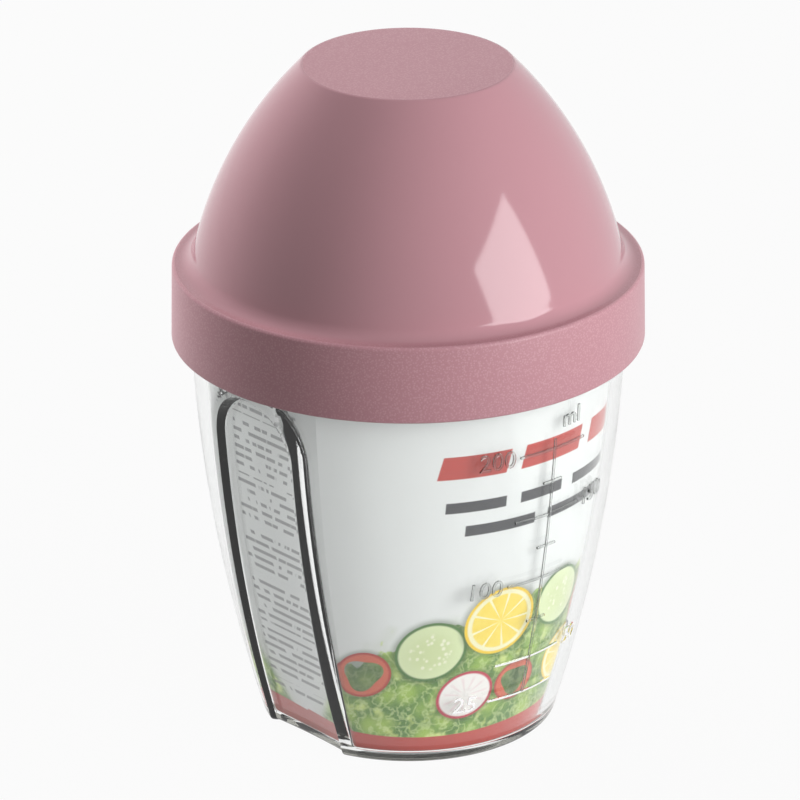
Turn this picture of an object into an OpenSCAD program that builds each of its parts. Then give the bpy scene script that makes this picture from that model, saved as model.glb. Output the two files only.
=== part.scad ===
// Shaker for salad dressing: a clear tapered cup with sunk grips, a printed sleeve inside its wall,
// a mixing strainer in its mouth, a seal ring and a domed screw hood.
// Millimetres. The cup stands on z = 0 and the axis is Z. The measuring scale faces -Y and the
// two grip recesses face -X and +X.

/* [Cup] */
// Outer radius of the tapered wall at the table
base_r = 27.6; // [24:0.1:31]
// Outer radius of the straight neck
neck_r = 40.3; // [37:0.1:44]
// Height of the cup from the table to its rim
cup_h = 84.6; // [76:0.1:110]
// Length of the straight neck that carries the thread
neck_len = 7.6; // [6:0.1:10]
// How far the tapered wall swells outwards between base and neck
wall_swell = 2.5; // [1:0.1:4]
// Wall thickness of the cup
cup_wall = 2.2; // [1.6:0.1:3]
// Thickness of the floor
floor_t = 1.6; // [1.2:0.1:3]
// Height of the foot ring below the floor
foot_h = 0.4; // [0.3:0.1:1.5]
// Width of the foot ring where it is narrowest, behind a grip recess
foot_land = 2; // [1:0.1:4]
// Rounding of the edge between base and wall
base_edge_r = 1.4; // [0.6:0.1:2]
// Rounding of the rim
rim_edge_r = 0.5; // [0.2:0.1:0.8]

/* [Grip recesses] */
// Width of a recess between its upright sides
grip_w = 19.5; // [12:0.5:26]
// Depth of a recess at its middle
grip_depth = 2.8; // [1.6:0.1:3.4]
// Gap between the back of a recess's arch and the strainer above it
grip_top_gap = 1.6; // [1:0.1:8]

/* [Label sleeve] */
// Thickness of the printed paper
label_t = 0.35; // [0.2:0.05:0.6]
// Air gap between the paper and the wall
label_gap = 0.3; // [0.2:0.05:0.6]
// Gap between the top of the paper and the strainer
label_top_gap = 1; // [0.5:0.1:6]

/* [Mixing insert] */
// Thickness of the flange that rests on the rim
flange_t = 1.6; // [1:0.1:2.5]
// Depth of the strainer below the rim
insert_depth = 8.2; // [6:0.1:11]
// Wall thickness of the strainer
insert_wall = 1.4; // [1:0.1:2]
// Thickness of the slotted plate
plate_t = 1.6; // [1:0.1:2.5]
// Gap between the strainer and the neck
insert_gap = 0.3; // [0.2:0.05:0.5]
// Rounding of the strainer's lower edge
insert_edge_r = 1; // [0.4:0.1:1.4]
// Width of a slot, measured along a radius
slot_w = 2.4; // [1.6:0.1:3]
// Width of the ring that is left between two slots
ring_w = 1.6; // [1:0.1:3]
// Width of a spoke
spoke_w = 2; // [1.2:0.1:3]
// Number of spokes near the hub; the outer rings have twice as many
spokes = 6; // [4:1:8]
// Radius of the plain hub
hub_r = 6.5; // [5:0.5:10]
// Radius of the finger knob on the hub
knob_r = 3.6; // [2.5:0.1:4.5]
// Height of the finger knob above the plate
knob_h = 7; // [4:0.5:7.5]

/* [Seal ring] */
// Thickness of the seal, squeezed as it is with the hood closed
seal_t = 1.6; // [1:0.1:2.5]
// Width of the seal, measured along a radius
seal_w = 1.8; // [1.4:0.1:3]
// Gap between the seal and the step inside the collar that centres it
seal_gap = 0.3; // [0.2:0.05:0.5]

/* [Hood] */
// Room for the thread between the neck and the collar
thread_room = 1.4; // [1:0.1:2]
// Wall thickness of the collar
collar_wall = 2.1; // [1.6:0.1:3]
// Height of the collar
collar_h = 14.5; // [12:0.1:18]
// How much narrower the collar is at its top than at its lower edge, along a radius
collar_draft = 0.25; // [0.05:0.05:0.6]
// Wall thickness of the dome and the crown
hood_wall = 2.2; // [1.6:0.1:2.6]
// Width of the ledge between the collar's face and the foot of the dome
ledge_w = 3.8; // [3:0.05:4.5]
// Height of the dome above the ledge
dome_h = 38.1; // [28:0.1:42]
// Radius of the flat crown
crown_r = 19.5; // [14:0.1:22]
// Radius of the curve from the dome's foot to the crown
dome_curve = 75.6; // [50:0.2:140]
// Rounding where the dome meets the ledge
ledge_fillet = 2.8; // [1:0.1:3.4]
// Rounding of the collar's upper edge
collar_edge_r = 0.7; // [0.3:0.1:1]
// Rounding of the collar's lower edge
collar_foot_r = 0.4; // [0.2:0.1:0.8]
// Rounding of the crown's edge
crown_edge_r = 0.8; // [0.3:0.1:1.5]
// Height of the step inside the collar that centres the seal
seal_step_h = 0.9; // [0.5:0.1:1]

/* [Hidden] */
$fn = 96;
// Steps in a long arc and in a small rounding of a profile
arc_steps = 16;
edge_steps = 5;
// Overshoot of a cutting shape past the solid it cuts
past = 1;

floor_z = foot_h + floor_t;
neck_z = cup_h - neck_len;
// The wall's curve runs through the base corner and the foot of the neck
wall_foot = [base_r, 0];
wall_head = [neck_r, neck_z];
wall_chord = norm(wall_head - wall_foot);
wall_curve = (pow(wall_chord / 2, 2) + pow(wall_swell, 2)) / (2 * wall_swell);
wall_c = arc_centre(wall_foot, wall_head, wall_curve);

insert_z = cup_h - insert_depth;
grip_arch_r = grip_w / 2;
grip_arch_z = insert_z - grip_top_gap - cup_wall - grip_arch_r;
foot_hollow_r = base_r - grip_depth - base_edge_r - foot_land;

insert_r = neck_r - cup_wall - insert_gap;
insert_bore_r = insert_r - insert_wall;
label_top_z = insert_z - label_top_gap;

flange_z = cup_h + flange_t;
ledge_under_z = flange_z + seal_t;
ledge_z = ledge_under_z + hood_wall;
crown_z = ledge_z + dome_h;
collar_z = ledge_z - collar_h;
skirt_r = neck_r + thread_room;
hood_r = skirt_r + collar_wall;
dome_foot = [hood_r - ledge_w, ledge_z];
dome_head = [crown_r, crown_z];
dome_c = arc_centre(dome_foot, dome_head, dome_curve);
dome_inner_curve = dome_curve - hood_wall;
dome_bore_r = circle_x(dome_c, dome_inner_curve, ledge_under_z);
seal_r = neck_r;

// Centre, on the axis side, of the circle of radius r through the points p and q
function arc_centre(p, q, r) =
    let (d = q - p, half = norm(d) / 2)
    (p + q) / 2 + sqrt(r * r - half * half) * [-d[1], d[0]] / norm(d);

// Distance from the axis of the circle's outer side at height z
function circle_x(c, r, z) = c[0] + sqrt(r * r - pow(z - c[1], 2));

// Direction, in degrees, from the point c to the point p
function heading(c, p) = atan2(p[1] - c[1], p[0] - c[0]);

// Points of an arc from angle a to angle b
function arc(c, r, a, b, steps) =
    [for (i = [0 : steps]) let (t = a + (b - a) * i / steps) c + r * [cos(t), sin(t)]];

// A profile without its last point
function but_last(points) = [for (i = [0 : len(points) - 2]) points[i]];

// Outer profile of the cup's wall from the table to the foot of the neck, moved in by inset
function wall_profile(inset = 0) =
    let (
        c = [circle_x(wall_c, wall_curve - base_edge_r, base_edge_r), base_edge_r],
        turn = heading(wall_c, c),
        edge = arc(c, base_edge_r, -90, turn, edge_steps),
        side = arc(wall_c, wall_curve, turn, heading(wall_c, wall_head), arc_steps)
    )
    [for (p = concat(but_last(edge), but_last(side), [wall_head])) p - [inset, 0]];

// Inner profile of the wall, moved in by inset, from a height up to the foot of the neck or less
function bore_profile(inset, low, high) =
    let (
        r = wall_curve - cup_wall - inset,
        a = asin((low - wall_c[1]) / r),
        b = asin((min(high, neck_z) - wall_c[1]) / r),
        side = arc(wall_c, r, a, b, arc_steps),
        neck_in = neck_r - cup_wall - inset
    )
    high > neck_z ? concat(but_last(side), [[neck_in, neck_z], [neck_in, high]]) : side;

// Space of both grip recesses, with its floor and sides moved towards the inside by grow
module grip_spaces(grow = 0) {
    floor_line = wall_profile(grip_depth + grow);
    outside = neck_r + past;
    for (side = [0, 180])
        rotate(side)
            intersection() {
                rotate([90, 0, 90])
                    linear_extrude(outside)
                        union() {
                            translate([0, grip_arch_z])
                                circle(grip_arch_r + grow);
                            translate([-grip_arch_r - grow, -past])
                                square([grip_w + 2 * grow, grip_arch_z + past]);
                        }
                rotate([90, 0, 0])
                    linear_extrude(2 * outside, center = true)
                        polygon(concat(
                            [[floor_line[0][0], -past]],
                            floor_line,
                            [[outside, neck_z], [outside, -past]]
                        ));
            }
}

// Space inside the wall up to the rounded mouth, with the backs of the recesses standing into it
module cup_cavity() {
    mouth_c = [neck_r - cup_wall + rim_edge_r, cup_h - rim_edge_r];
    difference() {
        rotate_extrude()
            polygon(concat(
                [[0, floor_z]],
                bore_profile(0, floor_z, cup_h - rim_edge_r),
                arc(mouth_c, rim_edge_r, 180, 90, edge_steps),
                [[mouth_c[0], cup_h + past], [0, cup_h + past]]
            ));
        grip_spaces(cup_wall);
    }
}

module cup() {
    rim_c = [neck_r - rim_edge_r, cup_h - rim_edge_r];
    color([0.86, 0.89, 0.88, 0.45])
        difference() {
            rotate_extrude()
                polygon(concat(
                    [[0, foot_h], [foot_hollow_r, foot_h], [foot_hollow_r, 0]],
                    wall_profile(),
                    arc(rim_c, rim_edge_r, 0, 90, edge_steps),
                    [[0, cup_h]]
                ));
            grip_spaces();
            cup_cavity();
        }
}

// Solid body of the sleeve's outer or inner form: round, with a flat behind each recess
module sleeve_form(inset, low, high) {
    back = wall_profile(grip_depth + cup_wall + inset);
    head = [back[len(back) - 1][0], cup_h];
    right = concat([[back[0][0], -past]], back, [head]);
    left = [for (i = [len(right) - 1 : -1 : 0]) [-right[i][0], right[i][1]]];
    intersection() {
        rotate_extrude()
            polygon(concat([[0, low]], bore_profile(inset, low, high), [[0, high]]));
        rotate([90, 0, 0])
            linear_extrude(2 * neck_r, center = true)
                polygon(concat(right, left));
    }
}

module label_insert() {
    color([0.85, 0.86, 0.85])
        difference() {
            sleeve_form(label_gap, floor_z, label_top_z);
            sleeve_form(label_gap + label_t, floor_z - past, label_top_z + past);
        }
}

// One ring of slots between two radii, divided by spokes
module slot_ring(r_in, r_out, count) {
    difference() {
        translate([0, 0, -past])
            cylinder(r = r_out, h = plate_t + 2 * past);
        translate([0, 0, -2 * past])
            cylinder(r = r_in, h = plate_t + 4 * past);
        for (i = [0 : count - 1])
            rotate(360 * i / count)
                translate([0, -spoke_w / 2, -2 * past])
                    cube([r_out + past, spoke_w, plate_t + 4 * past]);
    }
}

module mixing_insert() {
    pitch = slot_w + ring_w;
    slot_rings = floor((insert_bore_r - hub_r) / pitch);
    foot_c = [insert_r - insert_edge_r, insert_z + insert_edge_r];
    color([0.93, 0.93, 0.92])
        union() {
            difference() {
                rotate_extrude()
                    polygon(concat(
                        [[0, insert_z]],
                        arc(foot_c, insert_edge_r, -90, 0, edge_steps),
                        [
                            [insert_r, cup_h],
                            [neck_r, cup_h],
                            [neck_r, flange_z],
                            [insert_bore_r, flange_z],
                            [insert_bore_r, insert_z + plate_t],
                            [0, insert_z + plate_t]
                        ]
                    ));
                translate([0, 0, insert_z])
                    for (i = [0 : slot_rings - 1]) {
                        r_in = hub_r + i * pitch;
                        roomy = PI * r_in / spokes > 3 * spoke_w;
                        slot_ring(r_in, r_in + slot_w, roomy ? 2 * spokes : spokes);
                    }
            }
            finger_knob();
        }
}

// Waisted knob by which the strainer is lifted out
module finger_knob() {
    waist = 0.72 * knob_r;
    head_c = [knob_r - insert_edge_r, insert_z + plate_t + knob_h - insert_edge_r];
    rotate_extrude()
        polygon(concat(
            [[0, insert_z + plate_t / 2], [knob_r, insert_z + plate_t / 2]],
            [[knob_r, insert_z + plate_t], [waist, insert_z + plate_t + knob_h / 3]],
            arc(head_c, insert_edge_r, 0, 90, edge_steps),
            [[0, insert_z + plate_t + knob_h]]
        ));
}

module seal_ring() {
    color([0.82, 0.82, 0.80])
        translate([0, 0, flange_z])
            difference() {
                cylinder(r = seal_r, h = seal_t);
                translate([0, 0, -past])
                    cylinder(r = seal_r - seal_w, h = seal_t + 2 * past);
            }
}

module hood_lid() {
    top_r = hood_r - collar_draft;
    fillet_r = min(ledge_fillet, ledge_w - collar_draft - collar_edge_r);
    foot_c = [hood_r - collar_foot_r, collar_z + collar_foot_r];
    edge_c = [top_r - collar_edge_r, ledge_z - collar_edge_r];
    fillet_z = ledge_z + fillet_r;
    fillet_c = [circle_x(dome_c, dome_curve + fillet_r, fillet_z), fillet_z];
    fillet_end = 180 + heading(dome_c, fillet_c);
    crown_c = [
        circle_x(dome_c, dome_curve - crown_edge_r, crown_z - crown_edge_r),
        crown_z - crown_edge_r
    ];
    crown_turn = heading(dome_c, crown_c);
    inner_crown_z = crown_z - hood_wall;
    inner_head = [circle_x(dome_c, dome_inner_curve, inner_crown_z), inner_crown_z];
    inner_foot = [dome_bore_r, ledge_under_z];
    outer = concat(
        arc(foot_c, collar_foot_r, -90, 0, edge_steps),
        arc(edge_c, collar_edge_r, 0, 90, edge_steps),
        arc(fillet_c, fillet_r, 270, fillet_end, edge_steps),
        arc(dome_c, dome_curve, heading(dome_c, fillet_c), crown_turn, arc_steps),
        arc(crown_c, crown_edge_r, crown_turn, 90, edge_steps)
    );
    inner = concat(
        arc(dome_c, dome_inner_curve, heading(dome_c, inner_head), heading(dome_c, inner_foot), arc_steps),
        [
            [seal_r + seal_gap, ledge_under_z],
            [seal_r + seal_gap, ledge_under_z - seal_step_h],
            [skirt_r, ledge_under_z - seal_step_h],
            [skirt_r, collar_z]
        ]
    );
    color([0.74, 0.55, 0.57])
        rotate_extrude()
            polygon(concat(outer, [[0, crown_z], [0, inner_crown_z]], inner));
}

cup();
label_insert();
mixing_insert();
seal_ring();
hood_lid();
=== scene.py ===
"""Looks of a salad dressing shaker: clear cup, printed sleeve, strainer, seal and domed screw hood.

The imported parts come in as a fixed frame. The cup and the hood are modelled again here with smooth
curves and threads, and every part gets its finish. Sizes of the parts and of their finishes are in
millimetres, meshes in metres.
"""

import logging
import math
from abc import ABC, abstractmethod
from dataclasses import dataclass
from enum import Enum
from typing import Callable, Sequence, Union

import bmesh
import bpy
from mathutils import Matrix, Vector


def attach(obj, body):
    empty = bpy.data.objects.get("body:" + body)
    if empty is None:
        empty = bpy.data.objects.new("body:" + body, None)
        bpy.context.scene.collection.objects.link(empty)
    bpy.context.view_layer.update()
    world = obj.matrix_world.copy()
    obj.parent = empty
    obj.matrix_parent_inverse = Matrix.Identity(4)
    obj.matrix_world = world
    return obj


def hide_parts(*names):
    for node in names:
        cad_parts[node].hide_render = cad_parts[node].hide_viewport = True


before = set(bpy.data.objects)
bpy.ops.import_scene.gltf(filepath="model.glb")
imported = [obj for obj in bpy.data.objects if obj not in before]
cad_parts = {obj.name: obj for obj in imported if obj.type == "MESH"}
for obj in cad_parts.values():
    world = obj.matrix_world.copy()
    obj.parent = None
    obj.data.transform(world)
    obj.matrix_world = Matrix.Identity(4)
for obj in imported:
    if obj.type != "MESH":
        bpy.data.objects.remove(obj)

log = logging.getLogger("shaker")
MM = 0.001
RIGHT_ANGLE = math.pi / 2
# Distances in metres under which two points are one, and under which an edge has no length
SAME_POINT = 1e-6
NO_LENGTH = 1e-7
# Angle in degrees above which an edge stays sharp, where a piece gives no other
SHARP_ANGLE = 35.0

Point = tuple[float, float]
Span = tuple[float, float]
Colour = tuple[float, float, float]
Tone = Union[Colour, bpy.types.NodeSocket]
WHITE = (1.0, 1.0, 1.0)


class Body(Enum):
    """Bodies of the frame that the new pieces ride on."""

    CUP = "cup"
    HOOD = "hood"


class Slot(Enum):
    """Material slots of the record, passed along with the new pieces but not assigned."""

    CLEAR = "clear_plastic"
    PINK = "pink_plastic"


# Profiles and meshes


@dataclass(frozen=True)
class Circle:
    """A circle in the plane of radius and height, in which the profiles are drawn."""

    r: float
    z: float
    size: float

    def reach(self, height: float) -> float:
        """Gives the distance from the axis of the circle's outer side at a height."""
        return self.r + math.sqrt(self.size**2 - (height - self.z) ** 2)

    def heading(self, point: Point) -> float:
        """Gives the direction of a point seen from the centre, in radians."""
        return math.atan2(point[1] - self.z, point[0] - self.r)

    def grown(self, by: float) -> "Circle":
        """Gives the circle round the same centre whose radius is larger by a length."""
        return Circle(self.r, self.z, self.size + by)

    def corner_inside(self, height: float, size: float) -> "Circle":
        """Gives the small circle that touches this one from inside, with its centre at a height."""
        return Circle(self.grown(-size).reach(height), height, size)

    def corner_outside(self, height: float, size: float) -> "Circle":
        """Gives the small circle that touches this one from outside, with its centre at a height."""
        return Circle(self.grown(size).reach(height), height, size)

    def arc(self, start: float, end: float, steps: int) -> list[Point]:
        """Gives the points of an arc.

        Args:
            start: First direction in radians.
            end: Last direction in radians.
            steps: Number of chords.

        Returns:
            The points from start to end.
        """
        turns = [start + (end - start) * i / steps for i in range(steps + 1)]
        return [(self.r + self.size * math.cos(t), self.z + self.size * math.sin(t)) for t in turns]


def circle_through(p: Point, q: Point, size: float) -> Circle:
    """Finds the circle of a given size through two points, with its centre on the axis side.

    Args:
        p: Lower point.
        q: Upper point.
        size: Radius of the circle.

    Returns:
        The circle.
    """
    dr, dz = q[0] - p[0], q[1] - p[1]
    chord = math.hypot(dr, dz)
    rise = math.sqrt(size**2 - (chord / 2) ** 2)
    return Circle((p[0] + q[0]) / 2 - rise * dz / chord, (p[1] + q[1]) / 2 + rise * dr / chord, size)


def smooth_step(value: float, low: float, high: float) -> float:
    """Gives a soft step.

    Args:
        value: Where the step is taken.
        low: Value at which it is 0.
        high: Value at which it is 1.

    Returns:
        The step, from 0 to 1.
    """
    t = min(1.0, max(0.0, (value - low) / (high - low)))
    return t * t * (3.0 - 2.0 * t)


def radius_of(vert: bmesh.types.BMVert) -> float:
    """Gives the distance of a vertex from the axis, in millimetres."""
    return math.hypot(vert.co.x, vert.co.y) / MM


def spin_profile(points: Sequence[Point], steps: int) -> bmesh.types.BMesh:
    """Spins a closed profile once round Z and closes its seam and poles.

    Args:
        points: Profile points in millimetres, without repeating the first.
        steps: Number of steps round the axis.

    Returns:
        The mesh, in metres, with its faces pointing outwards.
    """
    bm = bmesh.new()
    ring = [bm.verts.new((r * MM, 0.0, z * MM)) for r, z in points]
    pairs = list(zip(ring, ring[1:]))
    if points[0][0] > 0.0 or points[-1][0] > 0.0:
        pairs.append((ring[-1], ring[0]))
    edges = [bm.edges.new(pair) for pair in pairs]
    bmesh.ops.spin(
        bm,
        geom=ring + edges,
        cent=(0, 0, 0),
        axis=(0, 0, 1),
        angle=math.tau,
        steps=steps,
        use_merge=True,
    )
    bmesh.ops.remove_doubles(bm, verts=bm.verts, dist=SAME_POINT)
    bmesh.ops.dissolve_degenerate(bm, edges=bm.edges, dist=NO_LENGTH)
    bmesh.ops.recalc_face_normals(bm, faces=bm.faces)
    return bm


def add_object(name: str, data: bpy.types.ID) -> bpy.types.Object:
    """Adds an object to the scene.

    Args:
        name: Name of the object.
        data: Its mesh, curve, lamp or camera.

    Returns:
        The new object.
    """
    obj = bpy.data.objects.new(name, data)
    bpy.context.scene.collection.objects.link(obj)
    return obj


def to_piece(
    bm: bmesh.types.BMesh, name: str, body: Body, slot: Slot, sharp: float = SHARP_ANGLE
) -> bpy.types.Object:
    """Turns a mesh into a named piece that rides on a body.

    Args:
        bm: Finished mesh in metres, freed here.
        name: Name of the piece.
        body: Body that carries the piece.
        slot: Material slot of the record; not used.
        sharp: Angle in degrees above which an edge stays sharp.

    Returns:
        The new object.
    """
    mesh = bpy.data.meshes.new(name)
    bm.to_mesh(mesh)
    bm.free()
    mesh.shade_smooth()
    mesh.set_sharp_from_angle(angle=math.radians(sharp))
    obj = add_object(name, mesh)
    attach(obj, body.value)
    log.info("%s: %d faces on %s", name, len(mesh.polygons), body.value)
    return obj


# Shader building


class Signal:
    """A shader socket with one number, which takes part in Python expressions."""

    def __init__(self, net: "Network", socket: bpy.types.NodeSocket) -> None:
        """Keeps the socket and the network that it belongs to."""
        self.net = net
        self.socket = socket

    def math(self, operation: str, *others: "Signal | float") -> "Signal":
        """Adds a Math node of an operation on this signal and the others, and gives its result."""
        return self.net.math(operation, self, *others)

    def __add__(self, other: "Signal | float") -> "Signal":
        """Adds."""
        return self.math("ADD", other)

    def __radd__(self, other: float) -> "Signal":
        """Adds, with the number first."""
        return self.net.math("ADD", other, self)

    def __sub__(self, other: "Signal | float") -> "Signal":
        """Subtracts."""
        return self.math("SUBTRACT", other)

    def __rsub__(self, other: float) -> "Signal":
        """Subtracts from a number."""
        return self.net.math("SUBTRACT", other, self)

    def __mul__(self, other: "Signal | float") -> "Signal":
        """Multiplies."""
        return self.math("MULTIPLY", other)

    def __rmul__(self, other: float) -> "Signal":
        """Multiplies, with the number first."""
        return self.net.math("MULTIPLY", other, self)

    def __truediv__(self, other: "Signal | float") -> "Signal":
        """Divides."""
        return self.math("DIVIDE", other)

    def __abs__(self) -> "Signal":
        """Takes the absolute value."""
        return self.math("ABSOLUTE")

    def step(self, low: float, high: float) -> "Signal":
        """Adds a soft step.

        Args:
            low: Value at which the step is 0.
            high: Value at which it is 1, which may be the smaller one.

        Returns:
            The step, from 0 to 1.
        """
        settings = {"interpolation_type": "SMOOTHSTEP"}
        values = {"Value": self, "From Min": low, "From Max": high}
        ramp = self.net.node("ShaderNodeMapRange", settings, values)
        return Signal(self.net, ramp.outputs["Result"])

    def between(self, low: float, high: float, soft: float) -> "Signal":
        """Gives 1 between two values and 0 outside, over edges that are soft to both sides."""
        return self.step(low - soft, low + soft) * (1 - self.step(high - soft, high + soft))


class Network:
    """A node tree under construction."""

    def __init__(self, tree: bpy.types.NodeTree) -> None:
        """Keeps the tree."""
        self.tree = tree

    def node(self, kind: str, settings: dict | None = None, values: dict | None = None) -> bpy.types.Node:
        """Adds a node.

        Args:
            kind: Type of the node.
            settings: Properties that are set first.
            values: Numbers, colours or links of its inputs, by name or number.

        Returns:
            The node.
        """
        node = self.tree.nodes.new(kind)
        for key, value in (settings or {}).items():
            setattr(node, key, value)
        for key, value in (values or {}).items():
            self.feed(node.inputs[key], value)
        return node

    def feed(self, socket: bpy.types.NodeSocket, value: Signal | Tone | float) -> None:
        """Sets an input to a value, or links a signal or an output to it.

        Args:
            socket: Input of a node.
            value: What it gets.
        """
        source = value.socket if isinstance(value, Signal) else value
        if isinstance(source, bpy.types.NodeSocket):
            self.tree.links.new(source, socket)
        elif isinstance(source, tuple) and socket.type == "RGBA":
            socket.default_value = (*source, 1.0)
        else:
            socket.default_value = source

    def math(self, operation: str, *inputs: Signal | float) -> Signal:
        """Adds a Math node on one to three inputs, and gives its result."""
        node = self.node("ShaderNodeMath", {"operation": operation}, dict(enumerate(inputs)))
        return Signal(self, node.outputs[0])


@dataclass(frozen=True)
class Grain:
    """A noise: the size of its blobs in millimetres and its number of octaves."""

    size: float
    octaves: float
    mean = 0.5


class Paint(Network):
    """A node material under construction."""

    # Tint of lamp light behind a clear wall
    lamp_tint = (0.96, 0.97, 0.965)
    # Numbers of a Mix node's colour sockets, whose names its other sockets share
    mix_first, mix_second, mix_result = 6, 7, 2

    def __init__(self, name: str) -> None:
        """Starts an empty material with a Principled shader.

        Args:
            name: Name of the material.
        """
        self.material = bpy.data.materials.new(name)
        self.material.use_nodes = True
        super().__init__(self.material.node_tree)
        self.tree.nodes.clear()
        self.surface = self.node("ShaderNodeOutputMaterial").inputs["Surface"]
        self.shader = self.node("ShaderNodeBsdfPrincipled")
        self.feed(self.surface, self.shader.outputs["BSDF"])
        self.place = self.node("ShaderNodeTexCoord").outputs["Object"]

    def set(self, **values: Signal | Tone | float) -> None:
        """Sets or links inputs of the Principled shader, with underscores for spaces in their names."""
        for key, value in values.items():
            self.feed(self.shader.inputs[key.replace("_", " ")], value)

    def mix(self, factor: Signal, first: Tone, second: Tone) -> bpy.types.NodeSocket:
        """Mixes two colours.

        Args:
            factor: Share of the second colour.
            first: Colour at 0.
            second: Colour at 1.

        Returns:
            The mixed colour.
        """
        settings = {"data_type": "RGBA", "clamp_factor": True}
        values = {0: factor, self.mix_first: first, self.mix_second: second}
        return self.node("ShaderNodeMix", settings, values).outputs[self.mix_result]

    def axes(self) -> tuple[Signal, Signal, Signal]:
        """Splits the place on the object into its axes.

        Returns:
            The object's own x, y and z in millimetres.
        """
        values = {0: self.place, "Scale": 1.0 / MM}
        scaled = self.node("ShaderNodeVectorMath", {"operation": "SCALE"}, values)
        split = self.node("ShaderNodeSeparateXYZ", None, {0: scaled.outputs[0]})
        return tuple(Signal(self, split.outputs[i]) for i in range(3))

    def noise(self, grain: Grain, vector: bpy.types.NodeSocket | None = None) -> Signal:
        """Adds noise.

        Args:
            grain: Size of its blobs and number of octaves.
            vector: Coordinates in metres, the object's own when left out.

        Returns:
            The noise, around the mean of a grain.
        """
        scale = 1.0 / (grain.size * MM)
        values = {"Vector": vector or self.place, "Scale": scale, "Detail": grain.octaves}
        return Signal(self, self.node("ShaderNodeTexNoise", None, values).outputs["Fac"])

    def cells(self, size: float, vector: bpy.types.NodeSocket | None = None) -> Signal:
        """Adds the distance to the centres of scattered cells.

        Args:
            size: Size of a cell in millimetres.
            vector: Coordinates in metres, the object's own when left out.

        Returns:
            The distance, in shares of the size.
        """
        values = {"Vector": vector or self.place, "Scale": 1.0 / (size * MM)}
        return Signal(self, self.node("ShaderNodeTexVoronoi", None, values).outputs["Distance"])

    def bump(
        self, height: Signal, depth: float, under: bpy.types.NodeSocket | None = None
    ) -> bpy.types.NodeSocket:
        """Adds a bump.

        Args:
            height: Height from 0 to 1.
            depth: Depth in millimetres.
            under: Normal of a bump below this one.

        Returns:
            The normal.
        """
        values = {"Height": height, "Distance": depth * MM, "Strength": 1.0}
        if under is not None:
            values["Normal"] = under
        return self.node("ShaderNodeBump", None, values).outputs[0]

    def show_instead(self, factor: Signal | bpy.types.NodeSocket, other: bpy.types.Node) -> None:
        """Shows another shader in place of the Principled one.

        Args:
            factor: Share of the other shader.
            other: Node of the other shader.
        """
        values = {0: factor, 1: self.shader.outputs[0], 2: other.outputs[0]}
        mixed = self.node("ShaderNodeMixShader", None, values)
        self.feed(self.surface, mixed.outputs[0])

    def let_lamps_through(self) -> None:
        """Lets shadow rays pass, so that lamps reach what stands behind a clear wall."""
        path = self.node("ShaderNodeLightPath")
        clear = self.node("ShaderNodeBsdfTransparent", None, {"Color": self.lamp_tint})
        self.show_instead(path.outputs["Is Shadow Ray"], clear)


# Finishes

CLEAR_IOR = 1.52


@dataclass(frozen=True)
class ClearPlastic:
    """Clear moulded plastic with the faint flow marks of moulding."""

    name: str = "clear_plastic"
    tint: Colour = (0.965, 0.975, 0.97)
    roughness: float = 0.012
    wiped_more: float = 0.02
    wiped: Grain = Grain(5.0, 4.0)
    wiped_span: Span = (0.45, 0.75)
    flow: Grain = Grain(14.0, 1.0)
    flow_depth: float = 0.015

    def paint(self) -> bpy.types.Material:
        """Builds the material.

        Returns:
            The material.
        """
        paint = Paint(self.name)
        wiped = paint.noise(self.wiped).step(*self.wiped_span)
        paint.set(
            Base_Color=self.tint,
            Transmission_Weight=1.0,
            IOR=CLEAR_IOR,
            Roughness=self.roughness + self.wiped_more * wiped,
            Normal=paint.bump(paint.noise(self.flow), self.flow_depth),
        )
        paint.let_lamps_through()
        return paint.material


@dataclass(frozen=True)
class PaintedStepShade:
    """Painted shade on the upright side of a grip recess, where the clear wall bends the light away and
    so looks dark, with painted lighter streaks.
    """

    dark: Colour = (0.012, 0.013, 0.012)
    # Colour of the painted highlight streaks in the painted shade
    pale: Colour = (0.05, 0.05, 0.048)
    streak: Grain = Grain(2.2, 3.0)
    streak_span: Span = (0.62, 0.8)
    roughness: float = 0.08
    streak_more: float = 0.1

    def paint(self) -> bpy.types.Material:
        """Builds the material.

        Returns:
            The material.
        """
        paint = Paint("recess_step_painted_shade")
        # Pale streaks in the painted shade are painted highlights
        streak = paint.noise(self.streak).step(*self.streak_span)
        paint.set(
            Base_Color=paint.mix(streak, self.dark, self.pale),
            Roughness=self.roughness + self.streak_more * streak,
            IOR=CLEAR_IOR,
        )
        return paint.material


@dataclass(frozen=True)
class ReliefPlastic:
    """Raised marks of the measuring scale, a little rougher than the wall, with their glass tinted darker
    as painted shade added to the dark lines that refraction at their sides gives.
    """

    # Darker than the wall: painted shade of the marks
    tint: Colour = (0.8, 0.81, 0.8)
    cloud: Grain = Grain(0.5, 2.0)
    roughness: float = 0.02
    cloud_more: float = 0.05

    def paint(self) -> bpy.types.Material:
        """Builds the material.

        Returns:
            The material.
        """
        paint = Paint("scale_relief")
        paint.set(
            # The darker tint is painted shade
            Base_Color=self.tint,
            Transmission_Weight=1.0,
            IOR=CLEAR_IOR,
            Roughness=self.roughness + self.cloud_more * paint.noise(self.cloud),
        )
        return paint.material


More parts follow.
